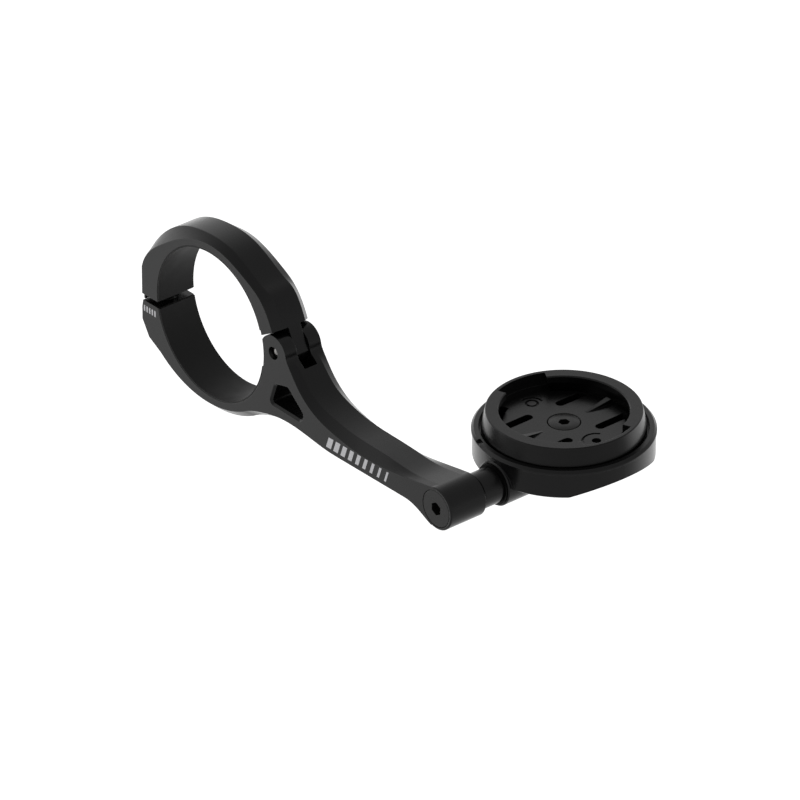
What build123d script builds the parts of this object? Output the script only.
from build123d import *
import os
from math import cos, radians, sin, sqrt, tan

# Out-front mount: a hinged clamp for a round bar, an arm, and a tilting puck with a quarter-turn socket.
# X points forward from the bar, Y runs along the bar, Z is up. The origin is on the bar's axis, halfway
# across the clamp.

os.makedirs("parts", exist_ok=True)

# ---- clamp ----
bar_radius = 15.9
liner_thickness = 0.25
liner_width = 8.9
upper_liner_start = 19.0
upper_liner_end = 186.0
lower_liner_start = 192.0
lower_liner_end = 351.0
bore_radius = bar_radius + liner_thickness
bore_edge = 0.1
band_width = 9.0
half_width = band_width / 2
facet_width = 1.7
band_radius = 17.8
rear_x = -20.9
rim_radius = 19.3
strap_end_z = -1.9
clamp_end_z = -3.25
rear_edge_break = 0.3
lap_thickness = 0.4
lap_gap = 0.3
lap_recess = 0.3

# ---- hinge ----
hinge_x = 19.2
hinge_z = 1.9
ear_radius = 3.75
ear_width = 2.9
slot_radius = 5.4
slot_run_out = 0.9
slot_run_out_angle = -20.0
knuckle_radius = 3.5
pin_radius = 1.35
pin_recess = 0.5
pin_dome = 0.7
running_gap = 0.04
side_gap = 0.14
shoulder_gap = 0.17
shoulder_angle = 30.0
ear_front_angle = 10.0
window_corner = 0.6
window_chamfer = 0.45

# ---- clamp bolt, M3 with a low head ----
clamp_bolt_x = -18.5
clamp_bolt_radius = 1.5
clamp_hole_radius = 1.6
clamp_head_radius = 2.75
clamp_head_height = 1.7
clamp_seat_z = -8.0
clamp_washer_thickness = 0.5
clamp_bolt_tip_z = 4.2
clamp_thread_top_z = 5.0
clamp_hex = 2.0
clamp_hex_depth = 1.1
clamp_head_clearance = 0.15
clamp_washer_clearance = 0.1

# ---- tilt barrel, its bolt (M4, countersunk) and the pieces on it ----
tilt_x = 67.45
tilt_z = -11.3
barrel_radius = 4.45
barrel_end_y = 4.7
barrel_end_chamfer = 0.45
tilt_bolt_radius = 2.0
tilt_head_radius = 3.8
tilt_head_rim = 0.35
tilt_bolt_tip_y = 18.2
tilt_hex = 2.5
tilt_hex_depth = 1.6
tilt_head_gap = 0.1
tilt_shank_gap = 0.05
bush_wall = 0.5
bush_start_y = -1.4
inner_washer_start_y = 4.72
inner_washer_radius = 3.7
inner_washer_end_y = 5.0
spacer_radius = 3.7
spacer_end_y = 9.55
outer_washer_radius = 4.15
edge_break = 0.2

# ---- puck ----
puck_y = 27.9
puck_cut = 20.0
carrier_radius = 17.9
skirt_radius = 17.7
carrier_top_z = -5.05
carrier_bottom_z = -10.95
lip_height = 0.9
lip_chamfer = 0.5
keel_start = 13.7
keel_angle = 26.0
keel_reach = 8.0
notch_angle = -110.0
notch_width = 1.6
notch_reach = 1.0
notch_depth = 0.5
boss_start_y = 10.0
boss_radius = 4.55
rib_end_y = 37.0
rib_nose = 3.5
pocket_radius = 16.45
pocket_floor_z = -6.4
boss_insert_radius = 2.9
boss_insert_start_y = 10.4
boss_insert_end_y = 18.4
screw_insert_radius = 2.2
screw_insert_top_z = -6.9
screw_insert_end_z = -12.4

# ---- quarter-turn socket ----
socket_top_z = -1.4
socket_floor_z = -4.3
socket_base_z = -5.9
socket_radius = 16.0
socket_crown_radius = 15.25
crown_edge = 0.15
mouth_radius = 12.6
mouth_edge = 0.2
entry_radius = 14.4
entry_start_angle = -26.0
entry_end_angle = 21.0
lip_thickness = 1.45
undercut_radius = 14.7
floor_radius = 11.8
cored_start_angle = 23.0
cored_end_angle = 151.0
finger_slot_x = 5.8
finger_slot_width = 1.9
finger_slot_start = 3.2
finger_slot_end = 13.0
ramp_start = 5.5
ramp_end = 11.5
ramp_height = 1.0
ramp_narrow = 0.5
ramp_wide = 1.3
pad_length = 20.0
pad_width = 5.0
gasket_inner_radius = 14.8
gasket_outer_radius = 15.8
screw_head_radius = 3.1
screw_radius = 1.5
screw_end_z = -12.0
screw_hex = 2.0
screw_hex_depth = 1.2
screw_head_rim = 0.1
screw_head_gap = 0.22
screw_shank_gap = 0.1
locating_pin_radius = 0.75
locating_pin_x = 8.0
locating_pin_top_z = -5.1
locating_pin_end_z = -8.4
mark_x = 9.4
mark_depth = 0.35
mark_stroke = 0.45
open_mark_radius = 1.35
closed_mark_radius = 0.9
closed_mark_depth = 0.8
open_arc_radius = 2.35
open_arc_angle = 135.0
closed_arc_radius = 2.9
closed_arc_angle = 185.0
arc_half_angle = 62.0

tilt_cone_y = tilt_head_rim + tilt_head_radius - tilt_bolt_radius - half_width

# Turned pieces are drawn on these planes, radius along X and length along Y (or Z), and spun on the axes.
bar_axis = Axis.Y
hinge_axis = Axis((hinge_x, 0, hinge_z), (0, 1, 0))
hinge_turning = Plane((hinge_x, 0, hinge_z))
tilt_axis = Axis((tilt_x, 0, tilt_z), (0, 1, 0))
tilt_turning = Plane((tilt_x, 0, tilt_z))
clamp_bolt_axis = Axis((clamp_bolt_x, 0, 0), (0, 0, 1))
clamp_bolt_turning = Plane((clamp_bolt_x, 0, 0), x_dir=(1, 0, 0), z_dir=(0, -1, 0))
puck_axis = Axis((tilt_x, puck_y, 0), (0, 0, 1))
puck_turning = Plane((tilt_x, puck_y, 0), x_dir=(1, 0, 0), z_dir=(0, -1, 0))
puck_plan = Plane((tilt_x, puck_y, 0))


def side(y):
    """The upright plane at a distance y along the bar, with X to the right, Z up and its normal along -Y."""
    return Plane.XZ.offset(-y)


def polar(radius, angle):
    return (radius * cos(radians(angle)), radius * sin(radians(angle)))


# The strap's shoulder is a flat that just clears the ears' round tops.
shoulder_normal = polar(ear_radius + shoulder_gap, 90 + shoulder_angle)


def on_shoulder(distance):
    """A point on the shoulder, by its distance in front of the foot of the perpendicular from the hinge."""
    along = polar(distance, shoulder_angle)
    return (hinge_x + shoulder_normal[0] + along[0], hinge_z + shoulder_normal[1] + along[1])


def arm_section(y, rear, ring_radius, belly, crest):
    """The arm's outline: lower half of the clamp, the ear, and the arm between its belly and its crest."""
    ear_front = polar(ear_radius, ear_front_angle)
    ear_end = (hinge_x + ear_front[0], hinge_z + ear_front[1])
    belly_end = belly[-1]
    with BuildSketch(side(y)) as section:
        with BuildLine():
            Polyline((0, clamp_end_z), (rear_x + rear_edge_break, clamp_end_z), *rear)
            ThreePointArc(rear[-1], (0, -ring_radius), belly[0])
            Spline(belly, tangents=[belly_start_slope, forward])
            Line(belly_end, (belly_flat_end_x, belly_end[1]))
            Spline([(belly_flat_end_x, belly_end[1]), barrel_foot], tangents=[forward, barrel_foot_slope])
            Polyline(barrel_foot, (tilt_x, tilt_z), crest[-1])
            Spline([*reversed(crest), ear_end], tangents=[barrel_crest_slope, ear_end_slope])
            ThreePointArc(ear_end, (hinge_x, hinge_z + ear_radius), (hinge_x - ear_radius, hinge_z))
            Line((hinge_x - ear_radius, hinge_z), (0, clamp_end_z))
        make_face()
    return section.sketch


def strap_section(y, crown):
    """The strap's outline: a crown line from the rear facet to the shoulder, closed inside the bore."""
    with BuildSketch(side(y)) as section:
        with BuildLine():
            Spline(crown, tangents=[crown_start_slope, crown_end_slope])
            Polyline(crown[-1], on_shoulder(shoulder_back), (0, strap_end_z), (rear_x, strap_end_z))
            Line((rear_x, strap_end_z), crown[0])
        make_face()
    return section.sketch


def far_side(sketch):
    """The same outline on the other side of the band."""
    return mirror(sketch, about=Plane.XZ, mode=Mode.PRIVATE)


def sector(start, end, reach=40, steps=6):
    """A pie slice between two angles, wide enough to cover the band."""
    step = (end - start) / steps
    Polygon([(0, 0), *[polar(reach, start + step * i) for i in range(steps + 1)]], align=None)


# ---- cutters shared by the two halves of the clamp ----
with BuildPart() as bore_cutter:
    with BuildSketch():
        with BuildLine():
            Polyline(
                (0, -half_width),
                (bore_radius + bore_edge, -half_width),
                (bore_radius, bore_edge - half_width),
                (bore_radius, half_width - bore_edge),
                (bore_radius + bore_edge, half_width),
                (0, half_width),
                close=True,
            )
        make_face()
    revolve(axis=bar_axis)

# ---- arm: lower half of the clamp, hinge ears, window and barrel ----
forward = (1, 0)
belly_start_slope = (0.84, 0.55)
belly_flat_end_x = 58.0
barrel_foot = (66, -15.5)
barrel_foot_slope = (0.943, -0.333)
barrel_crest_slope = (-1, -0.14)
ear_end_slope = (-0.17, 0.98)
window_corners = [(18.3, -9.4), (19.8, -5.1), (23.4, -4.2), (27.9, -8.1), (27, -9.6)]
crest_middle = [(24.3, 0.65), (28, -3), (33.4, -5.7), (42.3, -7.2), (51, -7.45), (60, -7.8), (66.84, -6.9)]
crest_face = [(23.95, 0.5), (26.3, -2.6), (31.4, -6.5), (37.4, -8.3), (44.9, -9.3), (56.9, -8.6), (66.84, -7)]
belly_middle = [(11, -16.3), (16, -14), (22, -12.85), (28, -12.7), (34, -13.2), (42, -13.4)]
belly_face = [(9.9, -15.2), (15, -13.05), (21, -11.8), (27, -11.85), (33, -12.6), (42, -12.9)]
rear_middle = [(rear_x, -4.9), (rear_x, -8.4), (-19.5, -11.7), (-16.1, -14)]
rear_face = [(rear_x, -4.9), (rear_x, -7.6), (-18.9, -10.9), (-15.3, -12.9)]
arm_inner = arm_section(half_width - facet_width, rear_middle, rim_radius, belly_middle, crest_middle)
arm_outer = arm_section(half_width, rear_face, band_radius, belly_face, crest_face)

with BuildPart() as arm:
    extrude(arm_inner, amount=band_width - 2 * facet_width)
    loft(sections=[arm_inner, arm_outer], ruled=True)
    loft(sections=[far_side(arm_inner), far_side(arm_outer)], ruled=True)
    # The barrel reaches past the band on the puck's side.
    with BuildSketch(tilt_turning):
        with BuildLine():
            Polyline(
                (0, -half_width),
                (barrel_radius - edge_break, -half_width),
                (barrel_radius, edge_break - half_width),
                (barrel_radius, barrel_end_y - barrel_end_chamfer),
                (barrel_radius - barrel_end_chamfer, barrel_end_y),
                (0, barrel_end_y),
                close=True,
            )
        make_face()
    revolve(axis=tilt_axis)
    add(bore_cutter.part, mode=Mode.SUBTRACT)
    # Slot for the strap's tongue, as a slitting saw leaves it, and the hole for the hinge pin.
    with BuildSketch(side(half_width - ear_width)):
        with Locations((hinge_x, hinge_z)):
            Circle(slot_radius)
            with Locations(polar(slot_run_out, slot_run_out_angle)):
                Circle(slot_radius)
    extrude(amount=band_width - 2 * ear_width, mode=Mode.SUBTRACT)
    with BuildSketch(side(half_width)):
        with Locations((hinge_x, hinge_z)):
            Circle(pin_radius)
    extrude(amount=band_width, mode=Mode.SUBTRACT)
    # Window below the hinge, with an edge break on both faces.
    with BuildSketch(side(half_width)) as window:
        with BuildLine():
            Polyline(*window_corners, close=True)
        make_face()
        fillet(window.vertices(), radius=window_corner)
    extrude(amount=band_width, mode=Mode.SUBTRACT)
    for face_y, flare in ((half_width, 1), (-half_width, -1)):
        with BuildSketch(side(face_y)):
            add(window.sketch_local)
            offset(amount=window_chamfer)
        extrude(amount=window_chamfer * flare, taper=45, mode=Mode.SUBTRACT)
    # Clamp bolt: a clear hole, and a counterbore from below.
    with BuildSketch(Plane.XY.offset(clamp_seat_z)):
        with Locations((clamp_bolt_x, 0)):
            Circle(clamp_hole_radius)
    extrude(amount=clamp_end_z - clamp_seat_z, mode=Mode.SUBTRACT)
    with BuildSketch(Plane.XY.offset(clamp_seat_z)):
        with Locations((clamp_bolt_x, 0)):
            Circle(clamp_head_radius + clamp_head_clearance)
    extrude(amount=-band_width, mode=Mode.SUBTRACT)
    # Tilt bolt: a bore for its bush, a clear hole and a countersink.
    with BuildSketch(tilt_turning):
        with BuildLine():
            Polyline(
                (0, -half_width),
                (tilt_head_radius + tilt_head_gap, -half_width),
                (tilt_head_radius + tilt_head_gap, tilt_head_rim - half_width),
                (tilt_bolt_radius + tilt_shank_gap, tilt_cone_y),
                (tilt_bolt_radius + tilt_shank_gap, bush_start_y),
                (tilt_bolt_radius + bush_wall, bush_start_y),
                (tilt_bolt_radius + bush_wall, barrel_end_y),
                (0, barrel_end_y),
                close=True,
            )
        make_face()
    revolve(axis=tilt_axis, mode=Mode.SUBTRACT)
arm.part.label = "arm"
export_step(arm.part, "parts/arm.step")

# ---- strap: upper half of the clamp, with the tongue that turns on the hinge pin ----
crown_start_slope = (0.25, 0.97)
crown_end_slope = (0.4, -0.92)
shoulder_front = 3.4
shoulder_front_face = 1.9
shoulder_back = -4.0
crown_middle = [(rear_x, 5.2), polar(20.9, 147), polar(19.9, 121), polar(18.95, 98), polar(18.8, 70), polar(19.6, 45)]
crown_middle.append(on_shoulder(shoulder_front))
crown_face = [(rear_x, 4.1), polar(18.75, 142), polar(17.65, 110), polar(17.75, 80), polar(18.3, 52)]
crown_face.append(on_shoulder(shoulder_front_face))
strap_inner = strap_section(half_width - facet_width, crown_middle)
strap_outer = strap_section(half_width, crown_face)

with BuildPart() as strap:
    extrude(strap_inner, amount=band_width - 2 * facet_width)
    loft(sections=[strap_inner, strap_outer], ruled=True)
    loft(sections=[far_side(strap_inner), far_side(strap_outer)], ruled=True)
    with BuildSketch(side(half_width - ear_width - side_gap)):
        with BuildLine():
            knuckle_front = (hinge_x + knuckle_radius, hinge_z)
            knuckle_back = (hinge_x - knuckle_radius, hinge_z)
            Line(on_shoulder(shoulder_front), knuckle_front)
            ThreePointArc(knuckle_front, (hinge_x, hinge_z - knuckle_radius), knuckle_back)
            Polyline(knuckle_back, on_shoulder(shoulder_back), on_shoulder(shoulder_front))
        make_face()
    extrude(amount=band_width - 2 * ear_width - 2 * side_gap)
    add(bore_cutter.part, mode=Mode.SUBTRACT)
    with BuildSketch(side(half_width)):
        with Locations((hinge_x, hinge_z)):
            Circle(pin_radius + running_gap)
    extrude(amount=band_width, mode=Mode.SUBTRACT)
    with BuildSketch(Plane.XY.offset(strap_end_z)):
        with Locations((clamp_bolt_x, 0)):
            Circle(clamp_bolt_radius + running_gap)
    extrude(amount=clamp_thread_top_z - strap_end_z, mode=Mode.SUBTRACT)
    # Lap at the rear edge, which closes the split to dirt and leaves room to tighten.
    with BuildSketch(side(half_width - lap_recess)):
        with BuildLine():
            lap_rear_x = rear_x + lap_recess
            lap_end_z = clamp_end_z + lap_gap
            Polyline(
                (lap_rear_x, lap_end_z),
                (lap_rear_x + lap_thickness, lap_end_z),
                (lap_rear_x + lap_thickness, strap_end_z + lap_thickness),
                (lap_rear_x, strap_end_z + lap_thickness),
                close=True,
            )
        make_face()
    extrude(amount=band_width - 2 * lap_recess)
strap.part.label = "strap"
export_step(strap.part, "parts/strap.step")

# ---- liners: thin grip pads bonded into the two halves ----
with BuildPart() as upper_liner:
    with BuildSketch(side(liner_width / 2)):
        Circle(bore_radius)
        Circle(bar_radius, mode=Mode.SUBTRACT)
        with BuildSketch(mode=Mode.INTERSECT):
            sector(upper_liner_start, upper_liner_end)
    extrude(amount=liner_width)
upper_liner.part.label = "upper_liner"
export_step(upper_liner.part, "parts/upper_liner.step")

with BuildPart() as lower_liner:
    with BuildSketch(side(liner_width / 2)):
        Circle(bore_radius)
        Circle(bar_radius, mode=Mode.SUBTRACT)
        with BuildSketch(mode=Mode.INTERSECT):
            sector(lower_liner_start, lower_liner_end)
    extrude(amount=liner_width)
lower_liner.part.label = "lower_liner"
export_step(lower_liner.part, "parts/lower_liner.step")

# ---- hinge pin, with domed ends below the ears' faces ----
pin_end_y = half_width - pin_recess
dome_radius = (pin_radius**2 + pin_dome**2) / (2 * pin_dome)
dome_middle_x = pin_radius / 2
dome_middle_y = pin_end_y - dome_radius + sqrt(dome_radius**2 - dome_middle_x**2)
with BuildPart() as hinge_pin:
    with BuildSketch(hinge_turning):
        with BuildLine():
            Line((0, -pin_end_y), (0, pin_end_y))
            ThreePointArc((0, pin_end_y), (dome_middle_x, dome_middle_y), (pin_radius, pin_end_y - pin_dome))
            Line((pin_radius, pin_end_y - pin_dome), (pin_radius, pin_dome - pin_end_y))
            ThreePointArc(
                (pin_radius, pin_dome - pin_end_y), (dome_middle_x, -dome_middle_y), (0, -pin_end_y)
            )
        make_face()
    revolve(axis=hinge_axis)
hinge_pin.part.label = "hinge_pin"
export_step(hinge_pin.part, "parts/hinge_pin.step")

# ---- clamp bolt and its washer ----
clamp_head_top_z = clamp_seat_z - clamp_washer_thickness
clamp_head_end_z = clamp_head_top_z - clamp_head_height
with BuildPart() as clamp_bolt:
    with BuildSketch(clamp_bolt_turning):
        with BuildLine():
            Polyline(
                (0, clamp_head_end_z),
                (clamp_head_radius - edge_break, clamp_head_end_z),
                (clamp_head_radius, clamp_head_end_z + edge_break),
                (clamp_head_radius, clamp_head_top_z),
                (clamp_bolt_radius, clamp_head_top_z),
                (clamp_bolt_radius, clamp_bolt_tip_z - edge_break),
                (clamp_bolt_radius - edge_break, clamp_bolt_tip_z),
                (0, clamp_bolt_tip_z),
                close=True,
            )
        make_face()
    revolve(axis=clamp_bolt_axis)
    with BuildSketch(Plane.XY.offset(clamp_head_end_z)):
        with Locations((clamp_bolt_x, 0)):
            RegularPolygon(clamp_hex / 2, 6, major_radius=False)
    extrude(amount=clamp_hex_depth, mode=Mode.SUBTRACT)
clamp_bolt.part.label = "clamp_bolt"
export_step(clamp_bolt.part, "parts/clamp_bolt.step")

with BuildPart() as clamp_washer:
    with BuildSketch(Plane.XY.offset(clamp_head_top_z)):
        with Locations((clamp_bolt_x, 0)):
            Circle(clamp_head_radius)
            Circle(clamp_bolt_radius + clamp_washer_clearance, mode=Mode.SUBTRACT)
    extrude(amount=clamp_washer_thickness)
clamp_washer.part.label = "clamp_washer"
export_step(clamp_washer.part, "parts/clamp_washer.step")

# ---- tilt bolt, with its socket in the countersunk head ----
with BuildPart() as tilt_bolt:
    with BuildSketch(tilt_turning):
        with BuildLine():
            Polyline(
                (0, -half_width),
                (tilt_head_radius, -half_width),
                (tilt_head_radius, tilt_head_rim - half_width),
                (tilt_bolt_radius, tilt_cone_y),
                (tilt_bolt_radius, tilt_bolt_tip_y - edge_break),
                (tilt_bolt_radius - edge_break, tilt_bolt_tip_y),
                (0, tilt_bolt_tip_y),
                close=True,
            )
        make_face()
    revolve(axis=tilt_axis)
    with BuildSketch(side(-half_width)):
        with Locations((tilt_x, tilt_z)):
            RegularPolygon(tilt_hex / 2, 6, major_radius=False, rotation=30)
    extrude(amount=-tilt_hex_depth, mode=Mode.SUBTRACT)
tilt_bolt.part.label = "tilt_bolt"
export_step(tilt_bolt.part, "parts/tilt_bolt.step")


def tilt_ring(inner, outer, start_y, end_y):
    """A ring round the tilt axis."""
    with BuildPart() as ring:
        with BuildSketch(side(end_y)):
            with Locations((tilt_x, tilt_z)):
                Circle(outer)
                Circle(inner, mode=Mode.SUBTRACT)
        extrude(amount=end_y - start_y)
    return ring.part


# ---- bush, washers, spacer and threaded insert on the tilt bolt, from the barrel to the puck ----
bolt_clearance = tilt_bolt_radius + running_gap
tilt_pieces = {
    "barrel_bush": (bolt_clearance, tilt_bolt_radius + bush_wall, bush_start_y, barrel_end_y),
    "inner_washer": (bolt_clearance, inner_washer_radius, inner_washer_start_y, inner_washer_end_y),
    "pivot_spacer": (bolt_clearance, spacer_radius, inner_washer_end_y, spacer_end_y),
    "outer_washer": (bolt_clearance, outer_washer_radius, spacer_end_y, boss_start_y),
    "boss_insert": (bolt_clearance, boss_insert_radius, boss_insert_start_y, boss_insert_end_y),
}
for piece_name, ring_sizes in tilt_pieces.items():
    piece = tilt_ring(*ring_sizes)
    piece.label = piece_name
    export_step(piece, f"parts/{piece_name}.step")

# ---- carrier: the puck's machined body ----
with BuildPart() as carrier:
    with BuildSketch(puck_turning):
        with BuildLine():
            Polyline(
                (0, carrier_bottom_z),
                (skirt_radius - edge_break, carrier_bottom_z),
                (skirt_radius, carrier_bottom_z + edge_break),
                (skirt_radius, carrier_top_z - lip_height),
                (0, carrier_top_z - lip_height),
                close=True,
            )
        make_face()
    revolve(axis=puck_axis)
    # Boss and rib along the tilt axis.
    with BuildSketch(tilt_turning):
        with BuildLine():
            Polyline(
                (0, boss_start_y),
                (boss_radius - edge_break, boss_start_y),
                (boss_radius, boss_start_y + edge_break),
                (boss_radius, rib_end_y - rib_nose),
                (boss_radius - rib_nose, rib_end_y),
                (0, rib_end_y),
                close=True,
            )
        make_face()
    revolve(axis=tilt_axis)
    with BuildSketch(puck_turning):
        with BuildLine():
            Polyline(
                (0, carrier_top_z - lip_height),
                (carrier_radius, carrier_top_z - lip_height),
                (carrier_radius, carrier_top_z - lip_chamfer),
                (carrier_radius - lip_chamfer, carrier_top_z),
                (0, carrier_top_z),
                close=True,
            )
        make_face()
    revolve(axis=puck_axis)
    # Witness notch in the lip.
    with BuildSketch(puck_plan.offset(carrier_top_z)):
        with Locations(polar(carrier_radius, notch_angle)):
            Rectangle(2 * notch_reach, notch_width, rotation=notch_angle)
    extrude(amount=-notch_depth, mode=Mode.SUBTRACT)
    # Underside planed off towards the front and the back.
    for direction in (1, -1):
        with BuildSketch(side(puck_y + puck_cut)):
            with BuildLine():
                start_x = tilt_x + direction * keel_start
                end_x = start_x + direction * keel_reach
                Polyline(
                    (start_x, carrier_bottom_z),
                    (end_x, carrier_bottom_z),
                    (end_x, carrier_bottom_z + keel_reach * tan(radians(keel_angle))),
                    close=True,
                )
            make_face()
        extrude(amount=2 * puck_cut, mode=Mode.SUBTRACT)
    # Pocket for the socket, and bores for the two threaded inserts, the bolt and the locating pins.
    with BuildSketch(puck_plan.offset(pocket_floor_z)):
        Circle(pocket_radius)
    extrude(amount=carrier_top_z - pocket_floor_z, mode=Mode.SUBTRACT)
    with BuildSketch(side(boss_insert_end_y)):
        with Locations((tilt_x, tilt_z)):
            Circle(boss_insert_radius)
    extrude(amount=boss_insert_end_y - boss_start_y, mode=Mode.SUBTRACT)
    with BuildSketch(puck_plan.offset(screw_insert_end_z)):
        Circle(screw_insert_radius)
    extrude(amount=pocket_floor_z - screw_insert_end_z, mode=Mode.SUBTRACT)
    with BuildSketch(puck_plan.offset(locating_pin_end_z)):
        with Locations((locating_pin_x, 0), (-locating_pin_x, 0)):
            Circle(locating_pin_radius)
    extrude(amount=pocket_floor_z - locating_pin_end_z, mode=Mode.SUBTRACT)
carrier.part.label = "carrier"
export_step(carrier.part, "parts/carrier.step")

# ---- socket: moulded insert with lips on two sides and two spring fingers in its floor ----
lip_bottom_z = socket_top_z - lip_thickness
screw_cone_z = socket_floor_z - screw_head_rim - screw_head_radius + screw_radius

# Ramps on the fingers, rising and widening outwards.
with BuildPart() as finger_ramps:
    for direction in (1, -1):
        with BuildSketch(Plane.YZ.offset(tilt_x - ramp_wide)):
            with BuildLine():
                Polyline(
                    (puck_y + direction * ramp_start, socket_floor_z),
                    (puck_y + direction * ramp_end, socket_floor_z),
                    (puck_y + direction * ramp_end, socket_floor_z + ramp_height),
                    close=True,
                )
            make_face()
        extrude(amount=2 * ramp_wide)
    with BuildSketch(puck_plan.offset(socket_floor_z)):
        for direction in (1, -1):
            with BuildLine():
                Polyline(
                    (-ramp_narrow / 2, direction * ramp_start),
                    (-ramp_wide / 2, direction * ramp_end),
                    (ramp_wide / 2, direction * ramp_end),
                    (ramp_narrow / 2, direction * ramp_start),
                    close=True,
                )
            make_face()
    extrude(amount=ramp_height, mode=Mode.INTERSECT)

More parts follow.
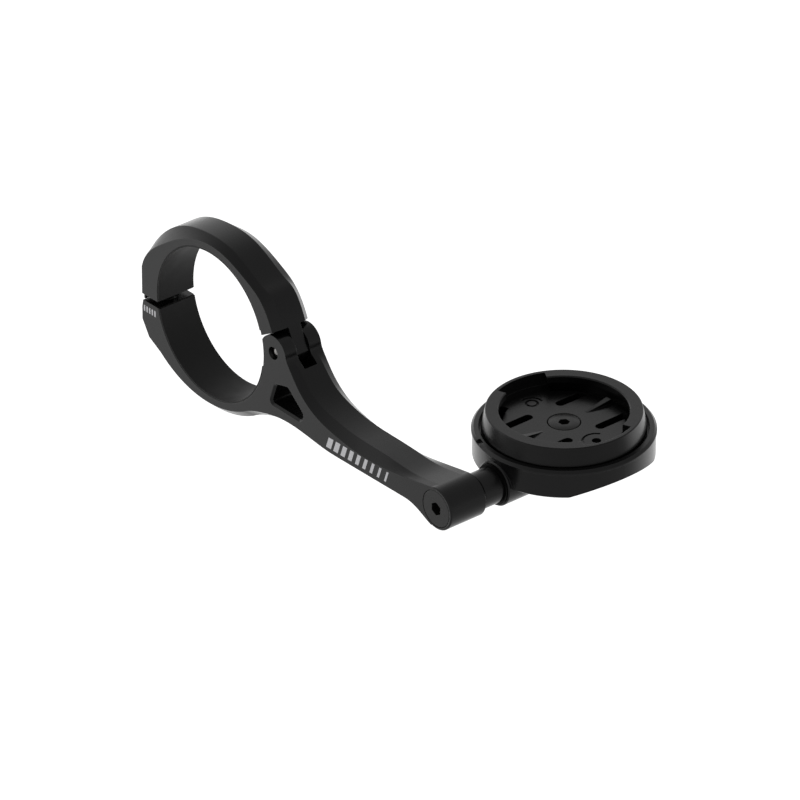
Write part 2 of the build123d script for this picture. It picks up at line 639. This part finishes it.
with BuildPart() as twist_insert:
    with BuildSketch(puck_turning):
        with BuildLine():
            Polyline(
                (0, socket_base_z),
                (socket_radius, socket_base_z),
                (socket_radius, carrier_top_z),
                (socket_crown_radius, socket_top_z - crown_edge),
                (socket_crown_radius - crown_edge, socket_top_z),
                (mouth_radius + mouth_edge, socket_top_z),
                (mouth_radius, socket_top_z - mouth_edge),
                (mouth_radius, lip_bottom_z),
                (undercut_radius, lip_bottom_z),
                (undercut_radius, socket_floor_z),
                (0, socket_floor_z),
                close=True,
            )
        make_face()
    revolve(axis=puck_axis)
    # Entries at the front and the back, where the mating tabs drop in.
    with BuildSketch(puck_plan.offset(socket_floor_z)):
        Circle(entry_radius)
        with BuildSketch(mode=Mode.INTERSECT):
            sector(entry_start_angle, entry_end_angle)
            sector(180 + entry_start_angle, 180 + entry_end_angle)
    extrude(amount=socket_top_z - socket_floor_z, mode=Mode.SUBTRACT)
    # The floor is cored out under both lips, which leaves the fingers' tips free.
    with BuildSketch(puck_plan.offset(socket_base_z)):
        Circle(undercut_radius)
        Circle(floor_radius, mode=Mode.SUBTRACT)
        with BuildSketch(mode=Mode.INTERSECT):
            sector(cored_start_angle, cored_end_angle)
            sector(180 + cored_start_angle, 180 + cored_end_angle)
    extrude(amount=socket_floor_z - socket_base_z, mode=Mode.SUBTRACT)
    with BuildSketch(puck_plan.offset(socket_base_z)):
        slot_middle = (finger_slot_start + finger_slot_end) / 2
        slot_length = finger_slot_end - finger_slot_start
        with GridLocations(2 * finger_slot_x, 2 * slot_middle, 2, 2):
            SlotOverall(slot_length, finger_slot_width, rotation=90)
    extrude(amount=socket_floor_z - socket_base_z, mode=Mode.SUBTRACT)
    # Pad under the floor, down to the pocket's floor, for the screw and the locating pins.
    with BuildSketch(puck_plan.offset(pocket_floor_z)):
        Rectangle(pad_length, pad_width)
    extrude(amount=socket_base_z - pocket_floor_z)
    # Centre screw's countersunk hole, and blind holes for the locating pins.
    with BuildSketch(puck_turning):
        with BuildLine():
            Polyline(
                (0, pocket_floor_z),
                (screw_radius + screw_shank_gap, pocket_floor_z),
                (screw_radius + screw_shank_gap, screw_cone_z),
                (screw_head_radius + screw_head_gap, socket_floor_z - screw_head_rim),
                (screw_head_radius + screw_head_gap, socket_floor_z),
                (0, socket_floor_z),
                close=True,
            )
        make_face()
    revolve(axis=puck_axis, mode=Mode.SUBTRACT)
    with BuildSketch(puck_plan.offset(pocket_floor_z)):
        with Locations((locating_pin_x, 0), (-locating_pin_x, 0)):
            Circle(locating_pin_radius)
    extrude(amount=locating_pin_top_z - pocket_floor_z, mode=Mode.SUBTRACT)
    # Engraved turn marks on the floor: a ring for open, a dot for closed, each with an arc beside it.
    with BuildSketch(puck_plan.offset(socket_floor_z)):
        with Locations((-mark_x, 0)):
            Circle(open_mark_radius)
            Circle(open_mark_radius - mark_stroke, mode=Mode.SUBTRACT)
        arcs = ((-mark_x, open_arc_radius, open_arc_angle), (mark_x, closed_arc_radius, closed_arc_angle))
        for centre_x, radius, middle in arcs:
            with BuildLine():
                inner = radius - mark_stroke
                CenterArc((centre_x, 0), radius, middle - arc_half_angle, 2 * arc_half_angle)
                CenterArc((centre_x, 0), inner, middle - arc_half_angle, 2 * arc_half_angle)
                for end_angle in (middle - arc_half_angle, middle + arc_half_angle):
                    inner_end = polar(inner, end_angle)
                    outer_end = polar(radius, end_angle)
                    Line((centre_x + inner_end[0], inner_end[1]), (centre_x + outer_end[0], outer_end[1]))
            make_face()
    extrude(amount=-mark_depth, mode=Mode.SUBTRACT)
    with BuildSketch(puck_plan.offset(socket_floor_z)):
        with Locations((mark_x, 0)):
            Circle(closed_mark_radius)
    extrude(amount=-closed_mark_depth, mode=Mode.SUBTRACT)
    add(finger_ramps.part)
twist_insert.part.label = "twist_insert"
export_step(twist_insert.part, "parts/twist_insert.step")

# ---- gasket between the socket's wall and the pocket ----
with BuildPart() as insert_gasket:
    with BuildSketch(puck_plan.offset(pocket_floor_z)):
        Circle(gasket_outer_radius)
        Circle(gasket_inner_radius, mode=Mode.SUBTRACT)
    extrude(amount=socket_base_z - pocket_floor_z)
insert_gasket.part.label = "insert_gasket"
export_step(insert_gasket.part, "parts/insert_gasket.step")

# ---- centre screw, M3 countersunk ----
with BuildPart() as insert_screw:
    with BuildSketch(puck_turning):
        with BuildLine():
            Polyline(
                (0, screw_end_z),
                (screw_radius - edge_break, screw_end_z),
                (screw_radius, screw_end_z + edge_break),
                (screw_radius, screw_cone_z),
                (screw_head_radius, socket_floor_z - screw_head_rim),
                (screw_head_radius, socket_floor_z),
                (0, socket_floor_z),
                close=True,
            )
        make_face()
    revolve(axis=puck_axis)
    with BuildSketch(puck_plan.offset(socket_floor_z)):
        RegularPolygon(screw_hex / 2, 6, major_radius=False)
    extrude(amount=-screw_hex_depth, mode=Mode.SUBTRACT)
insert_screw.part.label = "insert_screw"
export_step(insert_screw.part, "parts/insert_screw.step")

# ---- threaded insert for the centre screw ----
with BuildPart() as screw_insert:
    with BuildSketch(puck_plan.offset(screw_insert_end_z)):
        Circle(screw_insert_radius)
        Circle(screw_radius, mode=Mode.SUBTRACT)
    extrude(amount=screw_insert_top_z - screw_insert_end_z)
screw_insert.part.label = "screw_insert"
export_step(screw_insert.part, "parts/screw_insert.step")

# ---- locating pins ----
with BuildPart() as locating_pins:
    with BuildSketch(puck_plan.offset(locating_pin_end_z)):
        with Locations((locating_pin_x, 0), (-locating_pin_x, 0)):
            Circle(locating_pin_radius)
    extrude(amount=locating_pin_top_z - locating_pin_end_z)
locating_pins.part.label = "locating_pins"
export_step(locating_pins.part, "parts/locating_pins.step")
